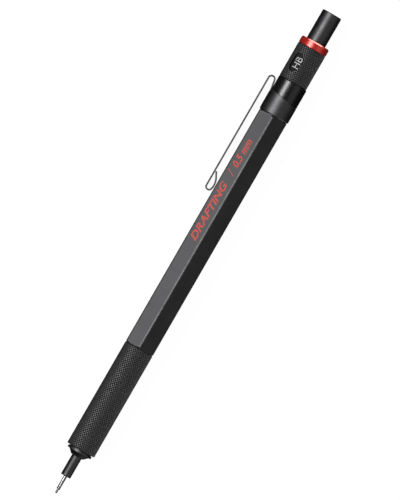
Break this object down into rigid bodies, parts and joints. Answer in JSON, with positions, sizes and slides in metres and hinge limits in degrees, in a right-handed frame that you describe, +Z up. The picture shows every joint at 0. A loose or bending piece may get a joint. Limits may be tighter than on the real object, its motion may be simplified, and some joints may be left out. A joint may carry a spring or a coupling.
{
  "type": "mechanical pencil",
  "caption": "Mechanical drafting pencil with a six-sided barrel, knurled grip, spring clip, turning lead-grade sleeve and push button.",
  "frame": {"origin": "bottom centre of the box of the pencil lying on a desk, with one flat of the barrel facing down", "axes": "+X along the pencil towards the writing tip, +Z up from the desk, the clip on the -Y side, 30 degrees below the horizontal"},
  "size_m": [0.1424, 0.0106, 0.0084],
  "materials": {
    "graphite": "matte",
    "polished_steel": "satin",
    "spring_steel": "satin",
    "brake_rubber": "matte",
    "black_satin_metal": "satin",
    "black_knurled_metal": "satin",
    "black_clip_steel": "satin",
    "charcoal_barrel": "satin",
    "gloss_black_plastic": "gloss",
    "black_plastic": "satin",
    "red_anodised": "satin",
    "brass": "satin",
    "tube_plastic": "satin",
    "eraser_rubber": "matte"
  },
  "bodies": {
    "holder": {"barrel": "charcoal_barrel", "grip": "black_knurled_metal", "joint_nipple": "black_plastic", "clutch_housing": "brass", "return_spring": "spring_steel", "tail_ferrule": "gloss_black_plastic", "guide_bush": "black_plastic", "friction_ring": "brake_rubber", "clip_band": "black_clip_steel", "grade_drum": "gloss_black_plastic", "red_ring": "red_anodised"},
    "nose": {"nose_cone": "black_satin_metal", "lead_sleeve": "polished_steel", "lead_brake": "brake_rubber"},
    "plunger": {"lead_tube": "tube_plastic", "tube_coupling": "black_plastic", "chuck": "brass"},
    "feed": {"chuck_ring": "brass", "lead": "graphite"},
    "spares": {"spare_leads": "graphite"},
    "eraser_plug": {"eraser": "eraser_rubber", "cleaning_pin": "spring_steel"},
    "button": {"push_cap": "black_satin_metal"},
    "grade_turner": {"grade_sleeve": "black_knurled_metal"},
    "clip": {"clip_arm": "black_clip_steel"}
  },
  "joints": [
    {"name": "press", "type": "slide", "parent": "holder", "child": "plunger", "axis": [1, 0, 0], "range_m": [0, 0.0024], "stiffness_N_per_m": 900, "springref_m": -0.0004, "deforming": ["return_spring"]},
    {"name": "lead_feed", "type": "slide", "parent": "holder", "child": "feed", "axis": [1, 0, 0], "range_m": [0, 0.0006]},
    {"name": "spare_slide", "type": "slide", "parent": "plunger", "child": "spares", "axis": [1, 0, 0], "range_m": [-0.0025, 0.022]},
    {"name": "eraser_pull", "type": "slide", "parent": "plunger", "child": "eraser_plug", "axis": [-1, 0, 0], "range_m": [0, 0.014]},
    {"name": "cap_pull", "type": "slide", "parent": "eraser_plug", "child": "button", "axis": [-1, 0, 0], "range_m": [0, 0.013]},
    {"name": "grade_turn", "type": "hinge", "parent": "holder", "child": "grade_turner", "pos_m": [-0.0558, 0.00077, 0.00421], "axis": [1, 0, 0], "continuous": true},
    {"name": "clip_lift", "type": "hinge", "parent": "holder", "child": "clip", "pos_m": [-0.04895, -0.00375, 0.0016], "axis": [0, 0.5, -0.866], "range_deg": [0, 4], "stiffness_Nm_per_rad": 0.6},
    {"name": "nose_unscrew", "type": "slide", "parent": "holder", "child": "nose", "axis": [1, 0, 0], "range_m": [0, 0.008]}
  ],
  "couplings": [
    {"joint": "lead_feed", "follows": "press", "ratio": 0.25}
  ]
}
